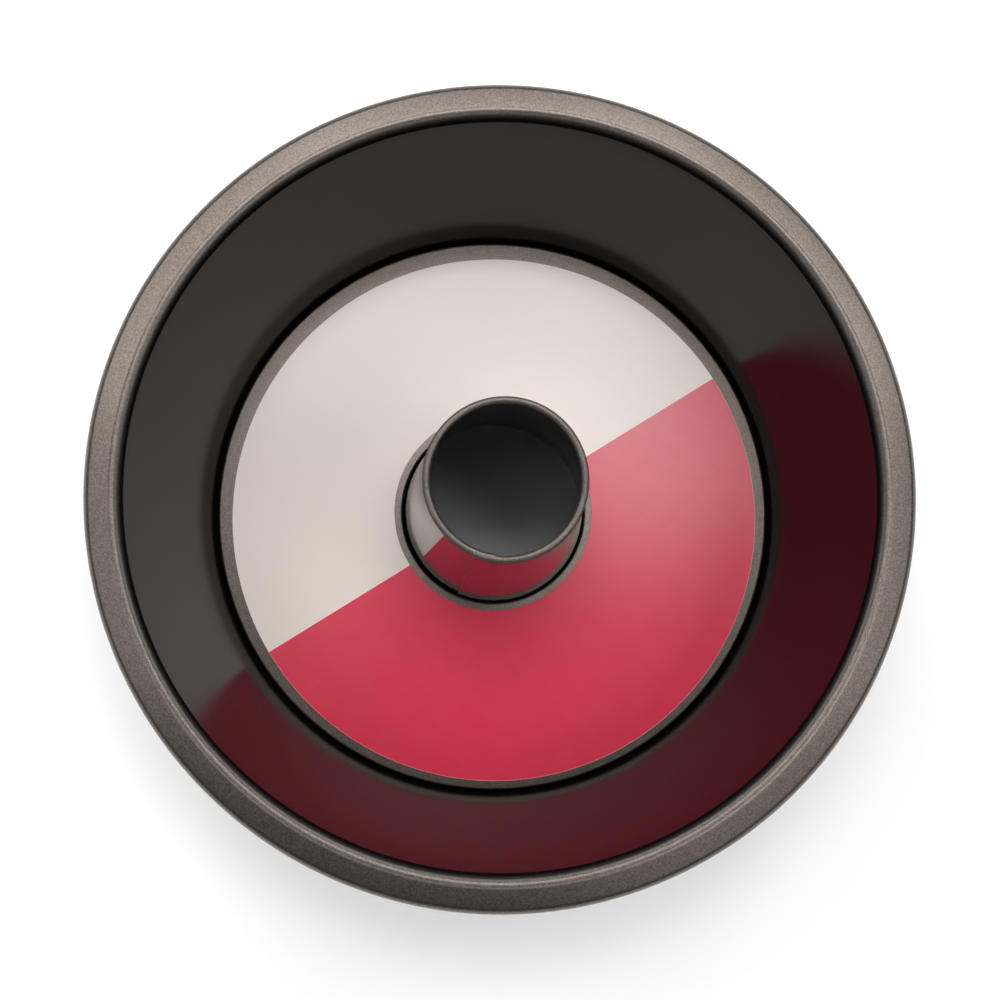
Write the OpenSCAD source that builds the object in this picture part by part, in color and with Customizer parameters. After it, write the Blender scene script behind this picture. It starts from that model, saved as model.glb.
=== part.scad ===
// Two-piece angel food cake pan: a tapered sheet-steel shell with a wired rim, and a lift-out base that
// carries a rolled centre tube and a loose printed card.
// Millimetres, +Z up, origin in the middle of the underside.

/* [Pan shell] */
// Outside diameter over the rolled rim
rim_d = 260; // [245:1:290]
// Height from the table to the crest of the rim
pan_h = 102; // [80:1:118]
// Inside diameter of the wall's foot, where the base drops in
foot_d = 206.6; // [190:0.2:222]
// Thickness of the shell's sheet
shell_t = 0.8; // [0.5:0.1:1.2]
// Width of the seat that the wall's foot turns in
seat_w = 8.6; // [6:0.2:14]
// Inside radius of the bend between seat and wall
foot_bend = 0.4; // [0.1:0.1:0.5]

/* [Rim] */
// Distance from the crest of the rim to its outside edge
crest_w = 9; // [7:0.1:11]
// Radius of the shoulder where the wall turns out over the crest
crest_bend = 3.8; // [3:0.1:6]
// Fall of the rim's band towards its outside edge, in degrees
rim_slope = 15; // [5:1:25]
// Diameter of the wire in the rim
wire_d = 5; // [3:0.1:6]
// How far the curl turns round the wire, in degrees
curl_turn = 304; // [200:2:306]

/* [Base plate] */
// Gap between the base plate and the wall's foot
base_gap = 0.5; // [0.5:0.1:2]
// Thickness of the base plate's sheet
plate_t = 0.8; // [0.6:0.1:1]
// Height of the base plate over its turned-down edge
plate_h = 4.6; // [4.4:0.1:7]
// Inside radius of the turned-down edge
edge_bend = 0.2; // [0.1:0.1:1.5]
// Diameter of the hole through the base plate
hole_d = 67.8; // [60:0.2:76]
// Inside radius of the hole's turned-down lip
hole_bend = 0.1; // [0.1:0.1:0.6]
// Length of the lip, down from the top of the plate
lip_l = 2.6; // [2.2:0.1:2.8]

/* [Centre tube] */
// Height of the tube's mouth above the table
tube_h = 130; // [110:1:150]
// Diameter over the bead at the tube's mouth
mouth_d = 49; // [40:0.5:58]
// Thickness of the tube's sheet
tube_t = 0.5; // [0.4:0.1:0.8]
// Inside radius of the bead's curl
bead_bend = 0.65; // [0.3:0.05:1]
// How far the bead curls outwards, in degrees
bead_turn = 275; // [180:5:290]
// Height of the hem that holds the lip of the hole
hem_l = 1.1; // [0.6:0.1:1.3]
// Width of the lap seam at the foot
lap_w = 10; // [6:1:16]
// Direction of the lap's outside edge, in degrees from +X
seam_az = 246.5; // [0:0.5:359.5]

/* [Card] */
// Diameter of the printed card
card_d = 195.8; // [170:0.2:199]
// Diameter of the hole in the card
card_hole_d = 73.9; // [72:0.1:90]
// Thickness of the card
card_t = 0.45; // [0.3:0.05:0.8]
// How far the card's outline lies off its hole, to the right
card_off_x = 0.6; // [-1:0.1:1]
// How far the card's outline lies off its hole, to the back
card_off_y = -1.6; // [-2:0.1:2]

/* [Fits] */
// Clearance between sheets that are folded round each other
fold_gap = 0.1; // [0.05:0.05:0.15]
// Clearance between the wire and the curl
wire_gap = 0.05; // [0.02:0.01:0.1]
// How far the two plies of the lap are pressed into each other
lap_press = 0.1; // [0.05:0.05:0.2]

/* [Hidden] */
$fn = 180;
// Largest step along a bend, in degrees
bend_step = 9;
steel = [0.33, 0.31, 0.30];
wire_grey = [0.62, 0.62, 0.62];
card_red = [0.75, 0.13, 0.24];

// A sheet's section is a chain of bends. Each bend is [centre, radius, heading in, heading out]. The radius
// is that of the sheet's middle line, positive where the sheet turns clockwise and negative where it turns
// the other way, and 0 at a cut end, which stands for a single point. Straight runs join the bends.
function left_of(heading) = [cos(heading + 90), sin(heading + 90)];
function steps(b) = ceil(abs(b[3] - b[2]) / bend_step);
function heading_at(b, i) = b[2] + (b[3] - b[2]) * i / max(1, steps(b));
function side(b, s) = [for (i = [0 : steps(b)]) b[0] + (b[1] + s) * left_of(heading_at(b, i))];
function reversed(points) = [for (i = [len(points) - 1 : -1 : 0]) points[i]];
function one_side(chain, s) = [for (b = chain) each side(b, s)];
function section(chain, t) = concat(one_side(chain, t / 2), reversed(one_side(chain, -t / 2)));
// Heading of the straight run that touches two bends
function run_heading(c0, r0, c1, r1) =
    atan2(c1.y - c0.y, c1.x - c0.x) - asin((r0 - r1) / norm(c1 - c0));

// Shell: seat, foot bend, wall, shoulder, band and curl
foot_r = foot_d / 2;
foot_k = -(foot_bend + shell_t / 2);
foot_c = [foot_r - foot_bend, shell_t + foot_bend];
crest_k = crest_bend - shell_t / 2;
crest_c = [rim_d / 2 - crest_w, pan_h - crest_bend];
wall_heading = run_heading(foot_c, foot_k, crest_c, crest_k);
curl_k = wire_d / 2 + wire_gap + shell_t / 2;
curl_r = rim_d / 2 - curl_k - shell_t / 2;
band_l = (curl_r - crest_c.x - (crest_k - curl_k) * sin(rim_slope)) / cos(rim_slope);
curl_c = crest_c + (crest_k - curl_k) * left_of(-rim_slope) + band_l * [cos(rim_slope), -sin(rim_slope)];
shell_chain = [
    [[foot_r - seat_w, shell_t / 2], 0, 0, 0],
    [foot_c, foot_k, 0, wall_heading],
    [crest_c, crest_k, wall_heading, -rim_slope],
    [curl_c, curl_k, -rim_slope, -rim_slope - curl_turn]
];

// Base plate: lip round the hole, flat and turned-down edge
plate_r = foot_r - base_gap;
plate_top = shell_t + plate_h;
lip_z = plate_top - lip_l;
hole_k = hole_bend + plate_t / 2;
edge_k = edge_bend + plate_t / 2;
lip_r = hole_d / 2 + plate_t / 2;
edge_r = plate_r - plate_t / 2;
plate_chain = [
    [[lip_r, lip_z], 0, 90, 90],
    [[lip_r + hole_k, plate_top - plate_t - hole_bend], hole_k, 90, 0],
    [[edge_r - edge_k, plate_top - plate_t - edge_bend], edge_k, 0, -90],
    [[edge_r, shell_t], 0, -90, -90]
];

// Tube: hem round the lip of the hole, cone and bead. One half is set off sideways and is larger, so that it
// laps over the other half's edge at the seam and meets it flush on the far side.
lap_step = tube_t - lap_press;
lap_angle = lap_w / (hole_d / 2) * 180 / PI;
hem_k = (plate_t + 2 * fold_gap + lap_step + tube_t) / 2;
hem_c = [hole_d / 2 + plate_t + fold_gap + tube_t / 2 - hem_k, lip_z - fold_gap];
bead_k = bead_bend + tube_t / 2;
bead_c = [(mouth_d - lap_step) / 2 - bead_k - tube_t / 2, tube_h - bead_k - tube_t / 2];
tube_heading = run_heading(hem_c, hem_k, bead_c, bead_k);
tube_chain = [
    [hem_c + [hem_k, hem_l], 0, -90, -90],
    [hem_c, hem_k, -90, tube_heading - 360],
    [bead_c, bead_k, tube_heading, tube_heading - bead_turn]
];

// Tapered wall with a turned-in seat and a rim that is curled round the wire
module pan_shell()
    color(steel)
    rotate_extrude()
    polygon(section(shell_chain, shell_t));

// Wire hoop that stiffens the rim
module rim_wire()
    color(wire_grey)
    rotate_extrude()
    translate(curl_c)
    circle(d = wire_d);

// Lift-out floor of the pan
module base_plate()
    color(steel)
    rotate_extrude()
    polygon(section(plate_chain, plate_t));

// Part turn of the tube's section, with all its radii grown
module tube_turn(turn, grow)
    rotate_extrude(angle = turn)
    translate([grow, 0])
    polygon(section(tube_chain, tube_t));

// Rolled cone with a lap seam, a bead at its mouth and a hem at its foot
module centre_tube()
    color(steel)
    rotate([0, 0, seam_az]) {
        translate([lap_step / 2, 0, 0]) tube_turn(180, lap_step / 2);
        rotate([0, 0, 180]) tube_turn(180 + lap_angle, 0);
    }

// Card disc that lies loose on the base plate, round the tube
module insert_card()
    color(card_red)
    translate([0, 0, plate_top])
    linear_extrude(card_t)
    difference() {
        translate([card_off_x, card_off_y]) circle(d = card_d);
        circle(d = card_hole_d);
    }

pan_shell();
rim_wire();
base_plate();
centre_tube();
insert_card();
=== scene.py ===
import math

import bpy
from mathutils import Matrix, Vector


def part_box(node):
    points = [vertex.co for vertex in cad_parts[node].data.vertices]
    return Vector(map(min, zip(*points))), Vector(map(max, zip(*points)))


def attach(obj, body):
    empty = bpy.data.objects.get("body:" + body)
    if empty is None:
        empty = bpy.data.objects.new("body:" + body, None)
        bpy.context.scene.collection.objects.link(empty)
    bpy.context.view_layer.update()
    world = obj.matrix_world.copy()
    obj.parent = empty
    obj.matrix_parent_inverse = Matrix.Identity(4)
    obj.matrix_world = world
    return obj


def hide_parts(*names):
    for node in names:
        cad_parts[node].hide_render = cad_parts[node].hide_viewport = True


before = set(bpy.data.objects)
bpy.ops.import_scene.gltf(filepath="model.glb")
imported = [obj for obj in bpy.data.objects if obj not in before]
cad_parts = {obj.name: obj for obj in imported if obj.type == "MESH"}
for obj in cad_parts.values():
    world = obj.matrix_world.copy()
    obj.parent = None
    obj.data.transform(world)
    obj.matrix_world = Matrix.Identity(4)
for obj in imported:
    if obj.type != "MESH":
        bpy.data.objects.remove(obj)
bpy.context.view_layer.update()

# Pan shell: one piece of coated sheet steel, drawn to a tapered wall. Its foot is turned in as the seat for
# the base, and its top is turned out over a crest, falls away as a band and curls under at the edge.
SHELL_T = 0.0008
SEAT_W = 0.0086
FOOT_R = 0.1033
FOOT_BEND = 0.0004
CREST_W = 0.009
CREST_BEND = 0.0038
RIM_SLOPE = 15
WIRE_R = 0.0025
WIRE_GAP = 0.00005
CURL_TURN = 304
SIDES = 256
SHELL_STEP = 4
RUN_LEAST = 1e-7
WELD = 1e-6
EDGE_ROUND = 1 / 6
EDGE_ANGLE = 50
SMOOTH_ANGLE = 40
SATIN_DARK = (0.099, 0.083, 0.073)
SATIN_LIGHT = (0.175, 0.146, 0.128)
GLOSS_DARK = (0.0037, 0.003, 0.0026)
SATIN_METAL = 0.9
SATIN_BLUR = 0.31
SATIN_COAT = 0.2
FLAKE_SCALE = 2600
FLAKE_SHARE = 0.5
CLOUD_SCALE = 1700
TONE_LOW = 0.35
TONE_HIGH = 1.15
TONE_BLUR = 0.04
GRAIN_STRENGTH = 0.2
GRAIN_DEPTH = 0.0001
WALL_SHINE = 0.6
WALL_BLUR = 0.2
# Span over which the painted shade on the shoulder fades out towards the crest
SHADE_FADE_BEFORE_CREST = 0.0034
SHADE_FADE_PAST_CREST = 0.0002


def at(r, z):
    """Point of a section, at a distance from the axis and a height."""
    return Vector((r, 0, z))


def left_of(heading):
    """Unit vector in the section's plane, a quarter turn to the left of a heading in degrees."""
    return at(-math.sin(math.radians(heading)), math.cos(math.radians(heading)))


def run_heading(c0, k0, c1, k1):
    """Heading of the straight run that touches two bends."""
    d = c1 - c0
    return math.degrees(math.atan2(d.z, d.x) - math.asin((k0 - k1) / d.length))


def draw_section(name, chain, step):
    """Draws a sheet's middle line in the XZ plane, as straight runs and bends, and leaves it in edit mode.

    Each bend is (centre, radius, heading in, heading out). The radius is below 0 for a turn to the left and
    0 for a cut end. Step is the most that one edge turns, in degrees. Spin turns clockwise about its axis.
    """
    centre, k, inward, _ = chain[0]
    here = centre + k * left_of(inward)
    bpy.ops.object.select_all(action="DESELECT")
    bpy.ops.mesh.primitive_plane_add(size=0.001, location=here)
    piece = bpy.context.active_object
    piece.name = piece.data.name = name
    bpy.ops.object.transform_apply(location=True)
    bpy.ops.object.mode_set(mode="EDIT")
    bpy.ops.mesh.merge(type="CENTER")
    for centre, k, inward, outward in chain:
        start = centre + k * left_of(inward)
        if (start - here).length > RUN_LEAST:
            bpy.ops.mesh.extrude_vertices_move(TRANSFORM_OT_translate={"value": start - here})
        turn = outward - inward
        if turn:
            steps = math.ceil(abs(turn) / step)
            bpy.ops.mesh.spin(steps=steps, angle=math.radians(turn), center=centre, axis=(0, 1, 0))
        here = centre + k * left_of(outward)
    bpy.ops.mesh.select_all(action="SELECT")
    return piece


def close_ring():
    """Spins the selected line once round Z and joins its ends."""
    bpy.ops.mesh.spin(steps=SIDES, angle=math.tau, center=(0, 0, 0), axis=(0, 0, 1))
    bpy.ops.mesh.select_all(action="SELECT")
    bpy.ops.mesh.remove_doubles(threshold=WELD)


def thicken(piece, thickness):
    """Gives a surface its sheet thickness and rounds off its cut edges."""
    bpy.ops.mesh.select_all(action="SELECT")
    bpy.ops.mesh.normals_make_consistent(inside=False)
    bpy.ops.object.mode_set(mode="OBJECT")
    sheet = piece.modifiers.new("sheet", "SOLIDIFY")
    sheet.thickness = thickness
    sheet.offset = 0
    sheet.use_even_offset = True
    bpy.ops.object.modifier_apply(modifier=sheet.name)
    edges = piece.modifiers.new("cut edges", "BEVEL")
    edges.width = thickness * EDGE_ROUND
    edges.segments = 2
    edges.limit_method = "ANGLE"
    edges.angle_limit = math.radians(EDGE_ANGLE)
    bpy.ops.object.modifier_apply(modifier=edges.name)
    bpy.ops.object.shade_smooth_by_angle(angle=math.radians(SMOOTH_ANGLE))


class Signal:
    """A value or a colour in a material, on which Python's operators add the nodes."""

    def __init__(self, finish, socket):
        self.finish = finish
        self.socket = socket

    def maths(self, operation, *values):
        return self.finish.node("ShaderNodeMath", {"operation": operation}, dict(enumerate(values)))[0]

    def __add__(self, other):
        return self.maths("ADD", self, other)

    def __sub__(self, other):
        return self.maths("SUBTRACT", self, other)

    def __rsub__(self, other):
        return self.maths("SUBTRACT", other, self)

    def __mul__(self, other):
        return self.maths("MULTIPLY", self, other)

    def __pow__(self, other):
        return self.maths("POWER", self, other)

    def __gt__(self, other):
        return self.maths("GREATER_THAN", self, other)

    def __lt__(self, other):
        return self.maths("LESS_THAN", self, other)

    def __or__(self, other):
        return self + other > 0.5

    __radd__ = __add__
    __rmul__ = __mul__


class Finish:
    """One node tree, and for a material its Principled shader."""

    def __init__(self, name):
        self.material = bpy.data.materials.new(name)
        self.material.use_nodes = True
        self.tree = self.material.node_tree
        self.shader = self.tree.nodes["Principled BSDF"]
        self.place = self.node("ShaderNodeTexCoord")[3]
        self.x, self.y, self.z = self.node("ShaderNodeSeparateXYZ", {}, {0: self.place})
        self.r = (self.x * self.x + self.y * self.y) ** 0.5

    def node(self, kind, settings=None, sockets=None):
        """Adds a node, makes its settings, fills its sockets and gives its outputs as Signals."""
        made = self.tree.nodes.new(kind)
        for key, value in (settings or {}).items():
            setattr(made, key, value)
        for key, value in (sockets or {}).items():
            self.fill(made.inputs[key], value)
        return [Signal(self, socket) for socket in made.outputs]

    def fill(self, socket, value):
        """Links a Signal to a socket, or sets the socket itself."""
        if isinstance(value, Signal):
            self.tree.links.new(value.socket, socket)
        elif socket.type == "RGBA":
            socket.default_value = (*value, 1)
        else:
            socket.default_value = value

    def set(self, sockets):
        """Fills the shader's sockets by their names."""
        for key, value in sockets.items():
            self.fill(self.shader.inputs[key], value)

    def noise(self, scale, detail):
        """Smooth noise round 0.5, with about scale waves to the metre and detail finer layers."""
        sockets = {"Vector": self.place, "Scale": scale, "Detail": detail}
        return self.node("ShaderNodeTexNoise", {}, sockets)[0]

    def grain(self, scale):
        """A different value from 0 to 1 in each cell, with about scale cells to the metre."""
        cells = self.node("ShaderNodeTexVoronoi", {}, {"Vector": self.place, "Scale": scale})[1]
        return self.node("ShaderNodeSeparateColor", {}, {0: cells})[0]

    def rise(self, value, low, high):
        """0 below low, 1 above high and smooth between."""
        settings = {"interpolation_type": "SMOOTHSTEP"}
        return self.node("ShaderNodeMapRange", settings, {0: value, 1: low, 2: high})[0]

    def mix(self, share, a, b):
        """Share of colour b over colour a."""
        return self.node("ShaderNodeMix", {"data_type": "RGBA"}, {0: share, 6: a, 7: b})[2]

    def bump(self, height, strength, distance):
        """Raises the surface by a height Signal."""
        sockets = {"Strength": strength, "Distance": distance, "Height": height}
        self.set({"Normal": self.node("ShaderNodeBump", {}, sockets)[0]})


def wear(piece, finish):
    """Puts one finish all over a piece."""
    piece.data.materials.clear()
    piece.data.materials.append(finish.material)


def coating(name, gloss, shine, blur):
    """Non-stick coating with metal flake: speckled satin, and smooth and dark where gloss says so.

    Gloss is a function of the finish that gives the smooth share, from 0 to 1. Shine is the weight of the
    clear top layer where the coating is smooth, and blur is that layer's roughness everywhere.
    """
    skin = Finish(name)
    smooth = gloss(skin)
    flake = skin.grain(FLAKE_SCALE)
    cloud = skin.noise(CLOUD_SCALE, detail=3)
    tone = skin.rise(flake * FLAKE_SHARE + cloud, TONE_LOW, TONE_HIGH)
    skin.set({
        "Base Color": skin.mix(smooth, skin.mix(tone, SATIN_DARK, SATIN_LIGHT), GLOSS_DARK),
        "Metallic": SATIN_METAL - smooth * SATIN_METAL,
        "Roughness": SATIN_BLUR + tone * TONE_BLUR,
        "Specular IOR Level": 0.0,
        "Coat Weight": SATIN_COAT + smooth * (shine - SATIN_COAT),
        "Coat Roughness": blur,
    })
    skin.bump(cloud * (1 - smooth), GRAIN_STRENGTH, GRAIN_DEPTH)
    return skin


rim_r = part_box("pan_shell")[1][0]
pan_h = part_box("pan_shell")[1][2]
foot_k = -(FOOT_BEND + SHELL_T / 2)
foot_c = at(FOOT_R - FOOT_BEND, SHELL_T + FOOT_BEND)
crest_k = CREST_BEND - SHELL_T / 2
crest_c = at(rim_r - CREST_W, pan_h - CREST_BEND)
wall_heading = run_heading(foot_c, foot_k, crest_c, crest_k)
curl_k = WIRE_R + WIRE_GAP + SHELL_T / 2
curl_r = rim_r - curl_k - SHELL_T / 2
slope = math.radians(RIM_SLOPE)
band_l = (curl_r - crest_c.x - (crest_k - curl_k) * math.sin(slope)) / math.cos(slope)
curl_c = crest_c + (crest_k - curl_k) * left_of(-RIM_SLOPE) + band_l * at(math.cos(slope), -math.sin(slope))
wall_foot = foot_c + foot_k * left_of(wall_heading)
wall_lean = 1 / math.tan(math.radians(wall_heading))
shell = draw_section("shell_sheet", [
    (at(FOOT_R - SEAT_W, SHELL_T / 2), 0, 0, 0),
    (foot_c, foot_k, 0, wall_heading),
    (crest_c, crest_k, wall_heading, -RIM_SLOPE),
    (curl_c, curl_k, -RIM_SLOPE, -RIM_SLOPE - CURL_TURN),
], SHELL_STEP)
close_ring()
thicken(shell, SHELL_T)


def wall_coat_and_shoulder_shade(skin):
    """1 on the inner face of the wall, fading to 0 over its shoulder, and 0 on the outside. The smooth dark
    coat on the wall is the pan's own finish. Its fade over the shoulder is painted shade, which darkens the
    fillet towards the wall.
    """
    middle = (skin.z - wall_foot.z) * wall_lean + wall_foot.x
    out = skin.r - crest_c.x
    over = skin.z - crest_c.z
    shoulder = (over > 0) * (out * out + over * over > crest_k ** 2)
    # Painted shade: the smooth dark share fades out over the shoulder from the wall to the crest, so the
    # fillet is darker next to the wall
    shoulder_shade_fade = skin.rise(skin.r, crest_c.x - SHADE_FADE_BEFORE_CREST, crest_c.x + SHADE_FADE_PAST_CREST)
    return ((skin.r < middle) | shoulder) * (1 - shoulder_shade_fade)


wear(shell, coating("shell_coating", wall_coat_and_shoulder_shade, WALL_SHINE, WALL_BLUR))
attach(shell, "pan")
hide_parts("pan_shell")

# Rim wire: a hoop of drawn steel wire, butted at its ends, which the curl of the rim is rolled round. It
# keeps its own solid and shows only in the narrow gap where the curl comes round under the band.
STEEL_DULL = (0.32, 0.32, 0.32)
STEEL_BRIGHT = (0.62, 0.62, 0.62)
STREAK_SCALE = 900
STREAK_STRENGTH = 0.2
STREAK_DEPTH = 0.00005
WIRE_BLUR = 0.3
STREAK_BLUR = 0.2
drawn = Finish("drawn_wire")
streak = drawn.noise(STREAK_SCALE, detail=4)
drawn.set({
    "Base Color": drawn.mix(streak, STEEL_DULL, STEEL_BRIGHT),
    "Metallic": 1.0,
    "Roughness": WIRE_BLUR + streak * STREAK_BLUR,
})
drawn.bump(streak, STREAK_STRENGTH, STREAK_DEPTH)
wear(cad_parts["rim_wire"], drawn)

# Base plate: a disc of the same coated sheet that drops onto the seat. Its edge is turned down, and so is the
# lip of the hole in its middle, which the foot of the tube is hemmed round.
PLATE_T = 0.0008
EDGE_BEND = 0.0002
HOLE_R = 0.0339
HOLE_BEND = 0.0001
LIP_L = 0.0026
PLATE_STEP = 6
PLATE_BLUR = 0.18
plate_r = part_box("base_plate")[1][0]
plate_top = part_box("base_plate")[1][2]
lip_r = HOLE_R + PLATE_T / 2
lip_z = plate_top - LIP_L
edge_r = plate_r - PLATE_T / 2
hole_k = HOLE_BEND + PLATE_T / 2
edge_k = EDGE_BEND + PLATE_T / 2
plate = draw_section("base_sheet", [
    (at(lip_r, lip_z), 0, 90, 90),
    (at(lip_r + hole_k, plate_top - PLATE_T - HOLE_BEND), hole_k, 90, 0),
    (at(edge_r - edge_k, plate_top - PLATE_T - EDGE_BEND), edge_k, 0, -90),
    (at(edge_r, SHELL_T), 0, -90, -90),
], PLATE_STEP)
close_ring()
thicken(plate, PLATE_T)


def satin_all_over(skin):
    """0, since no part of the base plate is smooth."""
    return 0


wear(plate, coating("base_coating", satin_all_over, SATIN_COAT, PLATE_BLUR))
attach(plate, "base")
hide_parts("base_plate")

# Centre tube: one sheet rolled to a cone and lapped at a seam that faces the front left. Its mouth is beaded
# outwards, and its foot is rolled round the lip of the base plate's hole.
TUBE_T = 0.0005
FOLD_GAP = 0.0001
LAP_STEP = 0.0004
LAP_W = 0.010
SEAM = 246.5
HEM_L = 0.0011
MOUTH_R = 0.0245
BEAD_BEND = 0.00065
BEAD_TURN = 275
BEAD_H = 0.0022
TUBE_STEP = 12
TUBE_SHINE = 1.0
TUBE_BLUR = 0.09
BEAD_SATIN = 0.7
# Strip along the seam's cut edge that is partly thin satin coat and partly a painted highlight
CUT_HIGHLIGHT_NEAR = 0.00018
CUT_HIGHLIGHT_FAR = 0.0003
CUT_SATIN_AND_HIGHLIGHT = 0.8


def pick(piece, test):
    """Selects the vertices in edit mode whose places pass a test, and nothing else."""
    bpy.ops.mesh.select_all(action="DESELECT")
    bpy.ops.object.mode_set(mode="OBJECT")
    for vertex in piece.data.vertices:
        vertex.select = test(vertex.co)
    bpy.ops.object.mode_set(mode="EDIT")


tube_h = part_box("centre_tube")[1][2]
hem_k = (PLATE_T + 2 * FOLD_GAP + LAP_STEP + TUBE_T) / 2
hem_c = at(HOLE_R + PLATE_T + FOLD_GAP + TUBE_T / 2 - hem_k, lip_z - FOLD_GAP)
bead_k = BEAD_BEND + TUBE_T / 2
bead_c = at(MOUTH_R - LAP_STEP / 2 - bead_k - TUBE_T / 2, tube_h - bead_k - TUBE_T / 2)
tube_heading = run_heading(hem_c, hem_k, bead_c, bead_k)
tube = draw_section("tube_sheet", [
    (hem_c + at(hem_k, HEM_L), 0, -90, -90),
    (hem_c, hem_k, -90, tube_heading - 360),
    (bead_c, bead_k, tube_heading, tube_heading - BEAD_TURN),
], TUBE_STEP)
half = SIDES // 2
lapped = math.pi + LAP_W / HOLE_R
bpy.ops.mesh.spin(steps=half, angle=lapped, center=(0, 0, 0), axis=(0, 0, -1))
pick(tube, lambda place: abs(place.y) < WELD and place.x > 0)
bpy.ops.mesh.spin(steps=half, angle=-math.pi, center=(-LAP_STEP / 2, 0, 0), axis=(0, 0, -1))
bpy.ops.mesh.select_all(action="SELECT")
bpy.ops.mesh.remove_doubles(threshold=WELD)
thicken(tube, TUBE_T)
tube.rotation_euler.z = math.radians(SEAM - 180)
bpy.ops.object.transform_apply(rotation=True)


def tube_wall(skin):
    """1 on the tube's wall, and near 0 on the bead at its mouth and along the cut edge at its seam. The
    lighter satin strip at the seam is partly the coat thinning over the edge and partly a painted highlight
    of the rounded edge.
    """
    bead = skin.rise(skin.z, tube_h - BEAD_H, tube_h - BEAD_H / 2)
    seam = math.radians(SEAM)
    aside = skin.y * math.cos(seam) - skin.x * math.sin(seam)
    facing = skin.x * math.cos(seam) + skin.y * math.sin(seam) > 0
    # Lighter satin strip along the seam's cut edge: partly the thin coat over the edge, partly a painted
    # highlight of the rounded edge
    cut = facing * (1 - skin.rise(aside * aside, CUT_HIGHLIGHT_NEAR ** 2, CUT_HIGHLIGHT_FAR ** 2))
    return (1 - bead * BEAD_SATIN) * (1 - cut * CUT_SATIN_AND_HIGHLIGHT)


wear(tube, coating("tube_coating", tube_wall, TUBE_SHINE, TUBE_BLUR))
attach(tube, "base")
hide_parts("centre_tube")

# Insert card: a disc of coated white board, printed in two colours that meet on a straight line, with its
# hole cut slightly off centre. It lies loose on the base, round the tube, and its cut edges show the core.
CARD_R = 0.0979
CARD_HOLE_R = 0.03695
CARD_T = 0.00045
CARD_OFF = Vector((0.0006, -0.0016, 0))
CARD_RINGS = 12
PRINT_ANGLE = 31.76
PRINT_OFF = -0.00067
PRINT_PALE = (0.787, 0.688, 0.631)
PRINT_RED = (0.644, 0.018, 0.06)
CORE_WHITE = (0.86, 0.84, 0.79)
BOARD_GREY = (0.54, 0.52, 0.48)
PRINT_SOFT = 0.00008
BARE_START = 0.0002
BARE_END = 0.00036
RUB_W = 0.0004
RUB_SHARE = 0.25
INK_SCALE = 140
FIBRE_SCALE = 3200
SPECKLE = 0.02
PRINT_BLUR = 0.5
INK_BLUR = 0.08
GLAZE_BLUR = 0.21
FIBRE_SHARE = 0.3
BOARD_STRENGTH = 0.05
BOARD_DEPTH = 0.0001
FACING = 0.5
bpy.ops.object.select_all(action="DESELECT")
on_base = CARD_OFF + Vector((0, 0, plate_top))
bpy.ops.mesh.primitive_circle_add(vertices=SIDES, radius=CARD_R, location=on_base)
card = bpy.context.active_object
card.name = card.data.name = "card_disc"
bpy.ops.object.transform_apply(location=True)
bpy.ops.object.mode_set(mode="EDIT")
bpy.ops.mesh.select_all(action="SELECT")
ring_r = CARD_R
centre = CARD_OFF.copy()
for ring in range(CARD_RINGS):
    next_r = CARD_R + (CARD_HOLE_R - CARD_R) * (ring + 1) / CARD_RINGS
    bpy.ops.mesh.extrude_edges_move(TRANSFORM_OT_translate={"value": (0, 0, 0)})
    share = next_r / ring_r
    bpy.ops.transform.resize(value=(share, share, 1), center_override=(*centre.xy, plate_top))
    bpy.ops.transform.translate(value=-CARD_OFF / CARD_RINGS)
    centre -= CARD_OFF / CARD_RINGS
    ring_r = next_r
bpy.ops.mesh.select_all(action="SELECT")
bpy.ops.mesh.normals_make_consistent(inside=False)
bpy.ops.object.mode_set(mode="OBJECT")
board = card.modifiers.new("board", "SOLIDIFY")
board.thickness = CARD_T
board.offset = -1 if card.data.polygons[0].normal.z < 0 else 1
bpy.ops.object.modifier_apply(modifier=board.name)
bpy.ops.object.shade_smooth_by_angle(angle=math.radians(SMOOTH_ANGLE))

print_finish = Finish("card_print")
print_turn = math.radians(PRINT_ANGLE)
across = print_finish.y * math.cos(print_turn) - print_finish.x * math.sin(print_turn)
pale = print_finish.rise(across, PRINT_OFF - PRINT_SOFT, PRINT_OFF + PRINT_SOFT)
ink = print_finish.noise(INK_SCALE, detail=3)
fibre = print_finish.noise(FIBRE_SCALE, detail=4)
normal = print_finish.node("ShaderNodeTexCoord")[1]
normal_z = print_finish.node("ShaderNodeSeparateXYZ", {}, {0: normal})[2]
bare = pale * (1 - print_finish.rise(across, PRINT_OFF + BARE_START, PRINT_OFF + BARE_END))
card_x = print_finish.x - CARD_OFF.x
card_y = print_finish.y - CARD_OFF.y
card_r = (card_x * card_x + card_y * card_y) ** 0.5
rubbed = print_finish.rise(card_r, CARD_R - RUB_W, CARD_R)
colours = print_finish.mix(pale, PRINT_RED, PRINT_PALE)
printed = print_finish.mix(bare + rubbed * RUB_SHARE, colours, CORE_WHITE)
worn = print_finish.mix(ink * SPECKLE + fibre * SPECKLE, printed, CORE_WHITE)
edge_on = print_finish.mix(normal_z > FACING, CORE_WHITE, worn)
print_finish.set({
    "Base Color": print_finish.mix(normal_z < -FACING, edge_on, BOARD_GREY),
    "Roughness": PRINT_BLUR + ink * INK_BLUR,
    "Specular IOR Level": 0.0,
    "Coat Weight": 1.0,
    "Coat Roughness": GLAZE_BLUR,
})
print_finish.bump(fibre * FIBRE_SHARE + ink, BOARD_STRENGTH, BOARD_DEPTH)
wear(card, print_finish)
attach(card, "card")
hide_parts("insert_card")

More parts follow.
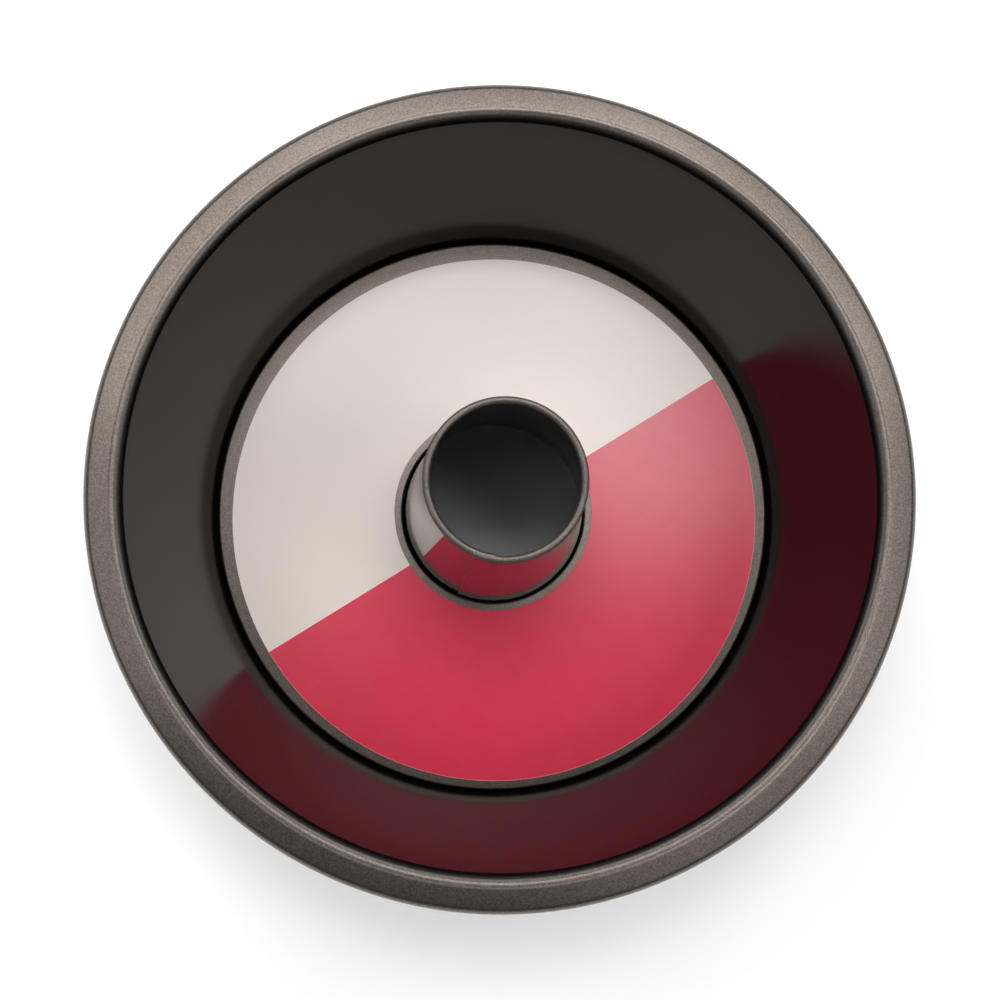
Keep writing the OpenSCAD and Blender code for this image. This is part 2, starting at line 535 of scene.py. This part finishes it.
# Stand: a plain white table with soft studio lights and the camera above it. None of it is part of the pan.
# The far table and the sky glow white for the camera and in low reflections, and give next to no light.
FLOOR_SIZE = 6
FADE_START = 0.3
FADE_END = 0.8
FLOOR_PALE = (0.80, 0.80, 0.80)
DIM = (0.03, 0.03, 0.03)
WHITE = (1, 1, 1)
BLACK = (0, 0, 0)
HORIZON_LOW = 0.12
HORIZON_HIGH = 0.20
LAMP_AIM = Vector((0, 0, 0.05))
bpy.ops.object.select_all(action="DESELECT")
bpy.ops.mesh.primitive_plane_add(size=FLOOR_SIZE)
table = bpy.context.active_object
table.name = table.data.name = "table_top"


def seen_rays(tree):
    """Shares of the rays that show the background itself and of those that show its reflection."""
    rays = tree.node("ShaderNodeLightPath")
    camera_ray, glossy_ray, transmission_ray = rays[0], rays[3], rays[6]
    return camera_ray, glossy_ray + transmission_ray


table_top = Finish("table_top")
direct, mirrored = seen_rays(table_top)
seen = direct | mirrored
far = seen * table_top.rise(table_top.r, FADE_START, FADE_END)
table_top.set({
    "Base Color": table_top.mix(far, table_top.mix(seen, FLOOR_PALE, WHITE), BLACK),
    "Emission Color": table_top.mix(far, BLACK, WHITE),
    "Emission Strength": 1.0,
    "Roughness": 0.9,
    "Specular IOR Level": 0.0,
})
wear(table, table_top)

world = bpy.data.worlds.new("studio")
bpy.context.scene.world = world
world.use_nodes = True


class Room(Finish):
    """The world's node tree and its Background shader."""

    def __init__(self):
        self.tree = world.node_tree
        self.shader = self.tree.nodes["Background"]


room = Room()
up = room.node("ShaderNodeSeparateXYZ", {}, {0: room.node("ShaderNodeTexCoord")[0]})[2]
low = 1 - room.rise(up, HORIZON_LOW, HORIZON_HIGH)
direct, mirrored = seen_rays(room)
room.set({"Color": room.mix(direct | mirrored * low, DIM, WHITE), "Strength": 1.0})


def softbox(name, turn, tilt, reach, width, depth, watts, glossy=True):
    """A soft rectangular lamp that faces the pan, tilt degrees off the vertical and reach metres away.

    Turn is its direction from +X in degrees. One that isn't glossy only fills in, and shows in no reflection.
    """
    lamp = bpy.data.lights.new(name, "AREA")
    lamp.shape = "RECTANGLE"
    lamp.size = width
    lamp.size_y = depth
    lamp.energy = watts
    holder = bpy.data.objects.new(name, lamp)
    lean = math.radians(tilt)
    side = math.radians(turn)
    away = Vector((math.sin(lean) * math.cos(side), math.sin(lean) * math.sin(side), math.cos(lean)))
    holder.location = LAMP_AIM + reach * away
    holder.rotation_euler = (holder.location - LAMP_AIM).to_track_quat("Z", "Y").to_euler()
    holder.visible_glossy = glossy
    bpy.context.scene.collection.objects.link(holder)


softbox("top_back", 95, tilt=15.5, reach=1.3, width=0.5, depth=0.22, watts=3.28)
softbox("top_right", 36, tilt=13, reach=1.3, width=0.22, depth=0.22, watts=1.12)
softbox("top_left", 160, tilt=11, reach=1.3, width=0.3, depth=0.3, watts=0.4)
for place, turn, watts in (
        ("back", 90, 5.6), ("back_right", 45, 5.12), ("back_left", 135, 5.04),
        ("right", 0, 2.48), ("left", 180, 2.08), ("right_front", -45, 1.04)):
    softbox(place, turn, tilt=44, reach=1.4, width=0.95, depth=0.5, watts=watts)
for place, turn, watts in (("front", -90, 0.88), ("front_left", -150, 1.28), ("front_right", -30, 2.56)):
    softbox(place, turn, tilt=27, reach=1.3, width=0.6, depth=0.3, watts=watts)
for place, turn, watts in (("fill_back", 90, 1.04), ("fill_left", 180, 6.8)):
    softbox(place, turn, tilt=62, reach=1.4, width=1.1, depth=0.5, watts=watts, glossy=False)

CAMERA_PLACE = (-0.0161, -0.04246, 0.55134)
CAMERA_TURN = (0.09411, -0.01944, 0)
CAMERA_SHIFT = (0.02148, -0.01237)
CAMERA_LENS = 52.588
camera = bpy.data.objects.new("camera", bpy.data.cameras.new("camera"))
camera.data.lens = CAMERA_LENS
camera.data.sensor_width = 36
camera.data.shift_x, camera.data.shift_y = CAMERA_SHIFT
camera.location = CAMERA_PLACE
camera.rotation_euler = CAMERA_TURN
bpy.context.scene.collection.objects.link(camera)
bpy.context.scene.camera = camera
bpy.context.scene.view_settings.view_transform = "Standard"
